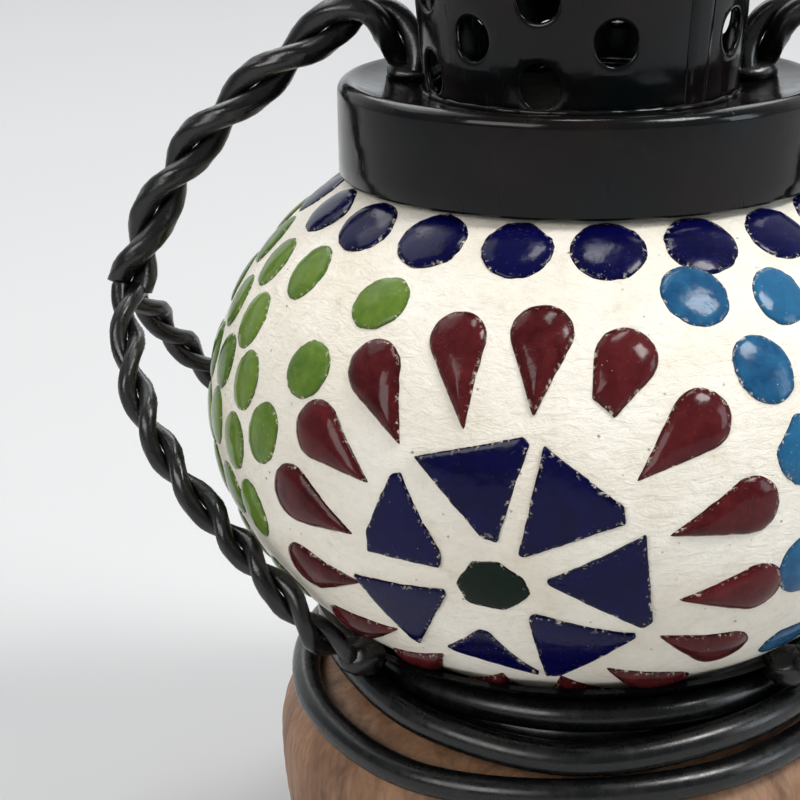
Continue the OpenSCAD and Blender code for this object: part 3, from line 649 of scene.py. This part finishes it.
def add_gap(k, tiles):
    """The ovals between flower k and the one to its left."""
    turn = 360 / FLOWERS * k
    places = [(flower_polar(FLOWER_LON + turn, b, c), FLOWER_LON + turn) for b, c in LEFT_ARC]
    places += [(flower_polar(FLOWER_LON + turn - 360 / FLOWERS, b, c), FLOWER_LON + turn - 360 / FLOWERS)
               for b, c in RIGHT_ARC]
    for p, lon in places:
        p = onto_globe(p + Vector((rng.uniform(-0.3, 0.3), 0, rng.uniform(-0.3, 0.3))), globe_normal(p))
        across = (p - lon_point(lon, FLOWER_DZ)).cross(globe_normal(p))
        long = 11.0 if k == 1 else 10.0
        tiles.add(p, across + p * rng.uniform(-0.2, 0.2), oval(long + rng.uniform(-0.5, 0.6),
                  long - 1.4 + rng.uniform(-0.4, 0.4), rng.choice((0, 0, 0.7)), rng.uniform(3, 6)),
                  rise=0.4, rough_edge=0.22)
    for lon, dz in GAP:
        p = lon_point(lon + turn + rng.uniform(-0.5, 0.5), dz + rng.uniform(-0.3, 0.3))
        tiles.add(p, Vector((rng.uniform(-0.25, 0.25), rng.uniform(-0.25, 0.25), 1)),
                  oval(9.8 + rng.uniform(-0.5, 0.5), 8.5 + rng.uniform(-0.4, 0.4)), rise=0.4, rough_edge=0.2)


def add_mosaic():
    sets = {key: TileSet("mosaic_" + key, slot, "tiles_" + key) for key, slot in (
        ("flower_centres", "glass_dark_green"), ("navy_wedges", "glass_navy"), ("red_teardrops", "glass_red"),
        ("navy_ovals", "glass_navy"), ("green_ovals", "glass_green"), ("blue_ovals", "glass_blue"),
        ("amber_ovals", "glass_amber"))}
    for k in range(FLOWERS):
        add_flower(k, sets["flower_centres"], sets["navy_wedges"], sets["red_teardrops"])
    for k, key in enumerate(("green_ovals", "blue_ovals", "amber_ovals")):
        add_gap(k, sets[key])
    for k in range(TOP_OVALS):
        p = lon_point(TOP_LON + 360 / TOP_OVALS * k + rng.uniform(-0.6, 0.6), TOP_DZ)
        sets["navy_ovals"].add(p, Vector((rng.uniform(-0.15, 0.15), rng.uniform(-0.15, 0.15), 1)),
                               oval(10.7 + rng.uniform(-0.3, 0.4), 11.3 + rng.uniform(-0.5, 0.4),
                                    rng.choice((0, 0, 0.5)), rng.uniform(0, 6)), rise=0.4, rough_edge=0.25)
    for tiles in sets.values():
        tiles.build()


def add_globe():
    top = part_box("globe_grout")[1].z / MM - 0.2
    neck_r = 35.1
    neck_dz = GLOBE_C * math.sqrt(1 - (neck_r / GLOBE_A) ** 2)
    mouth_dz = -GLOBE_C * math.sqrt(1 - (28 / GLOBE_A) ** 2)
    start, end = math.asin(mouth_dz / GLOBE_C), math.asin(neck_dz / GLOBE_C)
    rows = 150
    outside = [(GLOBE_A * math.cos(a), GLOBE_Z + GLOBE_C * math.sin(a))
               for a in (start + (end - start) * i / rows for i in range(rows + 1))]
    inside = [((GLOBE_A - 1.2) * math.cos(a), GLOBE_Z + (GLOBE_C - 1.2) * math.sin(a))
              for a in (end + (start - end) * i / 40 for i in range(41))]
    profile = outside + [(neck_r, top), (neck_r - 1.5, top)] + inside

    def hand_smoothed(p):
        n = Vector((p.x / GLOBE_A ** 2, p.y / GLOBE_A ** 2, (p.z - GLOBE_Z) / GLOBE_C ** 2)).normalized()
        swell = 0.10 * noise.noise(p / 9) + 0.05 * noise.noise(p / 2.6) + 0.02 * noise.noise(p / 0.9)
        return p + n * min(swell, 0.1)

    vertices, faces = lathe(profile, 420, hand_smoothed)
    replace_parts(tidy(new_piece("grout_skin", vertices, faces, "grout")), "globe_grout")


# ---------- collar, chimney and base ----------

COLLAR_R, COLLAR_TOP, COLLAR_H = 40.0, 144.4, 15.6
FOOT_Z = 142.2
CHIMNEY_R, FLARE, CHIMNEY_H = 25.6, 0.099, 42.0
VENT_R = 3.5
VENTS, VENT_ROWS = 7, 5
FIRST_VENT_LON, SEAM_LON = -13.9, 43.5


def add_collar():
    low = COLLAR_TOP - COLLAR_H
    rim = arc(COLLAR_R - 1.9, COLLAR_TOP - 1.9, 1.9, 0, 90, 10)
    profile = ([(COLLAR_R - 1.0, low + 0.3), (COLLAR_R - 0.7, low), (COLLAR_R - 0.35, low + 0.1),
                (COLLAR_R - 0.15, low + 0.5), (COLLAR_R - 0.1, low + 3)] + rim
               + [(37.2, 144.1), (36.2, 143.6), (33, 143.0), (CHIMNEY_R + 1, FOOT_Z + 0.1),
                  (CHIMNEY_R - 1.8, FOOT_Z), (CHIMNEY_R - 1.8, FOOT_Z - 1), (CHIMNEY_R + 1, FOOT_Z - 0.95),
                  (36, COLLAR_TOP - 2.2), (COLLAR_R - 1.4, COLLAR_TOP - 3.4)])

    def pressed(p):
        out = Vector((p.x, p.y, 0)).normalized()
        rise = 0.08 * noise.noise(p / 11 + Vector((5, 0, 0)))
        return p + out * 0.12 * noise.noise(p / 16) + Vector((0, 0, rise))

    vertices, faces = lathe(profile, 300, pressed)
    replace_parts(tidy(new_piece("collar_pressing", vertices, faces, "black_paint")), "collar")


def chimney_point(lon, dz, out=0.0):
    r = CHIMNEY_R + FLARE * dz + out
    a = math.radians(lon)
    return Vector((r * math.sin(a), -r * math.cos(a), FOOT_Z + dz))


def vent_places():
    """Longitude and height of each pierced hole."""
    step = 360 / VENTS
    return [(FIRST_VENT_LON + step * (k + (row % 2) / 2), 4.2 + 6.7 * row)
            for row in range(VENT_ROWS) for k in range(VENTS) if row % 2 or k != 1]


def add_chimney():
    per_degree = math.radians(1) * (CHIMNEY_R + FLARE * CHIMNEY_H / 2)
    start = SEAM_LON - 360
    width = 360 * per_degree
    vents = [(((lon - start) % 360) * per_degree, dz) for lon, dz in vent_places()]
    columns, rows = 110, 28
    points, edges = [], []
    for i in range(columns + 1):
        for j in range(rows + 1):
            p = Vector((width * i / columns, CHIMNEY_H * j / rows))
            edge = i in (0, columns) or j in (0, rows)
            if edge or all((p - Vector(v)).length > VENT_R + 0.9 for v in vents):
                points.append(p)
    ring = 32
    for u, v in vents:
        for reach in (VENT_R, VENT_R + 0.35, VENT_R + 0.75):
            first = len(points)
            for k in range(ring):
                a = 2 * math.pi * k / ring
                points.append(Vector((u + reach * math.cos(a), v + reach * math.sin(a))))
            edges += [(first + k, first + (k + 1) % ring) for k in range(ring)]
    flat, _, triangles, *_ = geometry.delaunay_2d_cdt(points, edges, [], 0, 1e-5)

    def clear(face):
        middle = sum((flat[i] for i in face), Vector((0, 0))) / len(face)
        return all((middle - Vector(v)).length > VENT_R - 0.02 for v in vents)

    faces = [tuple(f) for f in triangles if clear(f)]
    vertices = []
    for p in flat:
        near = min((p - Vector(v)).length for v in vents)
        punched = -0.32 * max(0.0, 1 - (near - VENT_R) / 0.9) ** 2
        dent = 0.12 * noise.noise(Vector((p.x, p.y, 3)) / 9) + punched
        vertices.append(chimney_point(start + p.x / per_degree, p.y, dent))
    wall = tidy(new_piece("chimney_wall", vertices, faces, "black_paint"))
    solid = wall.modifiers.new("sheet", "SOLIDIFY")
    solid.thickness = 0.8 * MM
    solid.offset = -1
    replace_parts(wall, "chimney")

    top = CHIMNEY_R + FLARE * CHIMNEY_H
    rim, rim_faces = lathe(arc(top, FOOT_Z + CHIMNEY_H, 1.2, 0, 345, 15), 160)
    tidy(new_piece("chimney_rolled_rim", rim, rim_faces, "black_paint"))

    lap = []
    lap_rows = 40
    across = [(-2.6, -0.5), (-2.5, 0.15), (-2.2, 0.42), (-1.0, 0.52)]
    across += [(-u, out) for u, out in reversed(across)]
    for j in range(lap_rows + 1):
        dz = (CHIMNEY_H - 0.4) * j / lap_rows
        wander = 0.25 * noise.noise(Vector((0, 0, dz / 7)))
        for u, out in across:
            lap.append(chimney_point(SEAM_LON + (u + wander) / per_degree, dz, out))
    n = len(across)
    strip = [(j * n + i, j * n + i + 1, (j + 1) * n + i + 1, (j + 1) * n + i)
             for j in range(lap_rows) for i in range(n - 1)]
    strip += [tuple(reversed(range(n))), tuple(range(lap_rows * n, lap_rows * n + n))]
    tidy(new_piece("chimney_seam_lap", lap, strip, "black_paint"))

    bead = []
    around, sides = 220, 8
    for s in range(around):
        for k in range(sides):
            a = 2 * math.pi * k / sides
            lon = 360 * s / around
            east, north = math.cos(math.radians(lon)), math.sin(math.radians(lon))
            r = 0.55 + 0.22 * noise.noise(Vector((east, north, 0)) * 9)
            bead.append(chimney_point(lon, 0.25 + r * math.sin(a), 0.25 + r * math.cos(a)))
    bead_faces = []
    for s in range(around):
        here, there = s * sides, (s + 1) % around * sides
        bead_faces += [(here + k, here + (k + 1) % sides, there + (k + 1) % sides, there + k)
                       for k in range(sides)]
    tidy(new_piece("chimney_solder_bead", bead, bead_faces, "black_paint"))


def add_base():
    base_r, waist, top, foot = 52.3, 28.8, 42.8, 2.0
    shoulder = top - waist
    flank = 80.0
    low = math.degrees(math.atan2(foot + 1.5 - waist, flank))
    foot_r = base_r - flank + math.sqrt(flank ** 2 - (waist - foot) ** 2)
    profile = ([(18, foot), (foot_r - 2.2, foot), (foot_r - 0.8, foot + 0.25)]
               + arc(base_r - flank, waist, flank, low, 0, 24)
               + arc(base_r - shoulder, waist, shoulder, 4, 90, 24)
               + [(30, top), (5.4, top), (5.4, 14), (18, 14)])

    def turned(p):
        out = Vector((p.x, p.y, 0)).normalized()
        lines = 0.05 * math.sin(p.z * 2.1 + 2 * noise.noise(p / 12))
        return p + out * (lines + 0.12 * noise.noise(p / 13))

    vertices, faces = lathe(profile, 240, turned)
    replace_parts(tidy(new_piece("base_turning", vertices, faces, "wood")), "wood_base")


# ---------- twisted iron frame ----------

# Centre lines of the left arm and the front left leg
ARM = [(-28, 8, 142.8), (-29.4, 8, 148), (-32.4, 7.8, 152.4), (-36.4, 7.5, 153.9), (-40.6, 7, 152.4),
       (-45, 6.5, 149.2), (-49.6, 6, 145.8), (-54.4, 5.5, 142), (-59.1, 5, 137.9), (-63.5, 4.4, 133.5),
       (-67.2, 3.8, 128.9), (-70.4, 3, 123.8), (-73, 2, 118.6), (-75, 1, 113.4), (-76.8, 0, 108)]
LEG = [(-76.8, -1, 108), (-76, -8, 103), (-73.6, -15.5, 96), (-70.4, -20.5, 90), (-66.4, -24, 84.4),
       (-61.6, -27.2, 79.4), (-56.2, -30.6, 74.9), (-51.1, -34.2, 70.7), (-46.8, -36.3, 66.7),
       (-43.4, -36.6, 62), (-39.4, -34.6, 57.6), (-34.6, -31.4, 53.8)]


def bar_section(width, height, corner, steps=3):
    """A rounded rectangle, as (x, y) points."""
    a, b = width / 2 - corner, height / 2 - corner
    out = []
    for k, (cx, cy) in enumerate(((a, b), (-a, b), (-a, -b), (a, -b))):
        out += arc(cx, cy, corner, 90 * k, 90 * k + 90, steps)
    return out


def twisted(name, route, wires, size, offset, pitches, reference, mirror, node, seed):
    """Wires twisted together along a route.

    Each wire starts at its own angle in wires, in degrees, and size is its depth and width. The pitches are
    the length of a full twist at the start and at the end, and mirror is the sign of x and y.
    """
    centre = smooth(route, 10)
    section = bar_section(*size, 0.42 * min(size))
    m = len(section)
    turns = [0.0]
    for i in range(1, len(centre)):
        pitch = pitches[0] + (pitches[1] - pitches[0]) * i / len(centre)
        turns.append(turns[-1] + (centre[i] - centre[i - 1]).length / pitch)
    vertices, faces = [], []
    for b, start in enumerate(wires):
        first = len(vertices)
        for i, c in enumerate(centre):
            t = (centre[min(i + 1, len(centre) - 1)] - centre[max(i - 1, 0)]).normalized()
            r = reference(c)
            u = (r - r.dot(t) * t).normalized()
            v = t.cross(u)
            stray = 0.35 * noise.noise(Vector((1.6 * turns[i], seed, 0)))
            a = 2 * math.pi * turns[i] + math.radians(start) + stray
            swell = 1 + 0.05 * noise.noise(Vector((4.5 * turns[i], seed, b)))
            middle = c + offset * swell * (math.cos(a) * u + math.sin(a) * v)
            for x, y in section:
                along_u, along_v = x * math.cos(a) - y * math.sin(a), x * math.sin(a) + y * math.cos(a)
                q = middle + swell * (along_u * u + along_v * v)
                vertices.append(Vector((q.x * mirror[0], q.y * mirror[1], q.z)))
        for i in range(len(centre) - 1):
            for j in range(m):
                k = (j + 1) % m
                row, after = first + i * m, first + (i + 1) * m
                faces.append((row + j, row + k, after + k, after + j))
        last = first + (len(centre) - 1) * m
        faces += [tuple(range(first, first + m)), tuple(range(last, last + m))]
    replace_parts(tidy(new_piece(name, vertices, faces, "black_iron"), merge=False), node)


def add_weld(name, place, radii):
    """A lumpy bead of weld, painted over."""
    vertices, faces = [], []
    rows, columns = 14, 24
    for i in range(rows + 1):
        for j in range(columns):
            lat, lon = math.pi * (i / rows - 0.5), 2 * math.pi * j / columns
            d = Vector((math.cos(lat) * math.cos(lon), math.cos(lat) * math.sin(lon), math.sin(lat)))
            lump = 1 + 0.16 * noise.noise(d * 1.7 + Vector(place)) + 0.05 * noise.noise(d * 5)
            vertices.append(Vector(place) + lump * times(d, Vector(radii)))
    for i in range(rows):
        for j in range(columns):
            k = (j + 1) % columns
            faces.append((i * columns + j, i * columns + k, (i + 1) * columns + k, (i + 1) * columns + j))
    tidy(new_piece(name, vertices, faces, "black_iron"))


def add_frame():
    for side, sx in (("left", 1), ("right", -1)):
        twisted("iron_arm_" + side, ARM, (20, 200), (3.9, 4.5), 2.0, (34, 25), lambda c: Vector((0, 1, 0)),
                (sx, 1), "arm_" + side, 1.5 + sx)
        add_weld(f"weld_arm_foot_{side}", (sx * ARM[0][0], ARM[0][1], ARM[0][2] + 0.9), (4.6, 4.4, 2.2))
        for end, sy in (("front", 1), ("back", -1)):
            twisted(f"iron_leg_{end}_{side}", LEG, (0, 180), (2.9, 3.1), 1.5, (22, 20),
                    lambda c: c - Vector((0, 0, GLOBE_Z)), (sx, sy), f"leg_{end}_{side}", 5 + sx + 2 * sy)
            x, y, z = LEG[-1]
            add_weld(f"weld_leg_foot_{end}_{side}", (sx * x, sy * y, z), (4.2, 4.2, 3.2))


# ---------- finishes of the CAD pieces that stay ----------

CAD_SLOTS = {
    "base_felt": "felt", "bottom_nut": "plated_brass", "bottom_washer": "zinc_steel",
    "threaded_rod": "plated_brass", "gallery_cup": "black_paint", "gallery_nut": "plated_brass",
    "holder_shell": "holder_plastic", "holder_insert": "holder_ceramic",
    "holder_contacts": "plated_brass", "inner_wires": "wire_insulation", "bulb_cap": "zinc_steel",
    "bulb_glass": "bulb_glass", "bulb_filament": "filament", "globe_glass": "globe_glass",
    "cap_dome": "black_paint", "cap_lug": "black_paint", "lifting_ring": "black_paint",
    "cord_grip": "cord_rubber", "switch_lower": "switch_plastic", "switch_upper": "switch_plastic",
    "switch_rocker": "rocker_plastic", "switch_contacts": "plated_brass", "switch_screws": "zinc_steel",
    "plug_boot": "cord_rubber", "plug_body": "cord_rubber", "plug_pins": "pin_metal"}
SOFT_EDGES = {"switch_lower": 0.8, "switch_upper": 0.9, "switch_rocker": 0.4, "plug_body": 1.2,
              "cap_lug": 0.3, "bottom_nut": 0.4, "gallery_nut": 0.4, "base_felt": 0.3, "plug_pins": 0.5,
              "cap_dome": 0.25}


def finish_cad():
    for name, slot in CAD_SLOTS.items():
        obj = NODES[name]
        obj.data.materials.clear()
        obj.data.materials.append(MATERIALS[slot])
        if name in SOFT_EDGES:
            edge = obj.modifiers.new("soft_edges", "BEVEL")
            edge.width = SOFT_EDGES[name] * MM
            edge.segments = 3
            edge.limit_method = "ANGLE"
            edge.angle_limit = math.radians(35)
            edge.use_clamp_overlap = True
            edge.harden_normals = True


# ---------- stage ----------

def add_stage():
    floor_mesh = bpy.data.meshes.new("floor")
    half = 7.0
    corners = [(-half, -half, 0), (half, -half, 0), (half, half, 0), (-half, half, 0)]
    floor_mesh.from_pydata(corners, [], [(0, 1, 2, 3)])
    floor = bpy.data.objects.new("floor", floor_mesh)
    bpy.context.scene.collection.objects.link(floor)
    f = Finish("floor", Roughness=0.8, Specular_IOR_Level=0.1)
    f.set("Base Color", f.mix(f.noise(900, 2), srgb(190, 190, 190), srgb(186, 186, 187)))
    floor_mesh.materials.append(f.material)

    world = bpy.data.worlds.new("studio")
    world.use_nodes = True
    tree = world.node_tree
    toward = tree.nodes.new("ShaderNodeSeparateXYZ")
    tree.links.new(tree.nodes.new("ShaderNodeTexCoord").outputs["Generated"], toward.inputs[0])
    wall = tree.nodes.new("ShaderNodeMapRange")
    wall.interpolation_type = "SMOOTHSTEP"
    for key, value in (("From Min", -0.1), ("From Max", 0.9), ("To Min", 0.24), ("To Max", 0.9)):
        wall.inputs[key].default_value = value
    tree.links.new(toward.outputs["Y"], wall.inputs["Value"])
    tree.nodes["Background"].inputs["Color"].default_value = (0.93, 0.97, 1.0, 1)
    tree.links.new(wall.outputs[0], tree.nodes["Background"].inputs["Strength"])
    bpy.context.scene.world = world
    bpy.context.scene.view_settings.view_transform = "Standard"


def add_light(name, place, aim, size, energy, colour=(1, 1, 1)):
    """A soft rectangular light at place, turned towards aim."""
    data = bpy.data.lights.new(name, "AREA")
    data.shape = "RECTANGLE"
    data.size, data.size_y = size
    data.energy = energy
    data.color = colour
    light = bpy.data.objects.new(name, data)
    bpy.context.scene.collection.objects.link(light)
    light.location = place
    light.rotation_euler = (Vector(aim) - Vector(place)).to_track_quat("-Z", "Y").to_euler()


def add_lights():
    lamp, back = (0, 0, 0.1), (-0.1, 0.95, 0)
    add_light("ceiling_panel", (0.06, 0.11, 1.25), lamp, (0.17, 0.6), 4)
    add_light("key_right", (0.75, -0.37, 1.25), lamp, (0.42, 0.42), 13.5, (1, 0.99, 0.97))
    add_light("front_left", (-0.9, -1.2, 0.9), lamp, (0.9, 0.7), 12, (1, 0.98, 0.96))
    add_light("window_right", (1.4, -0.3, 0.5), lamp, (0.4, 0.7), 5, (0.85, 0.93, 1))
    add_light("wall_wash", (-0.1, 1.5, 1.6), back, (2.2, 1.4), 26)
    add_light("left_panel", (-0.9, 0.4, 1.3), (-0.25, 0.15, 0), (0.8, 0.8), 3)


add_camera()
add_cord()
add_globe()
add_mosaic()
add_collar()
add_chimney()
add_base()
add_frame()
finish_cad()
add_stage()
add_lights()
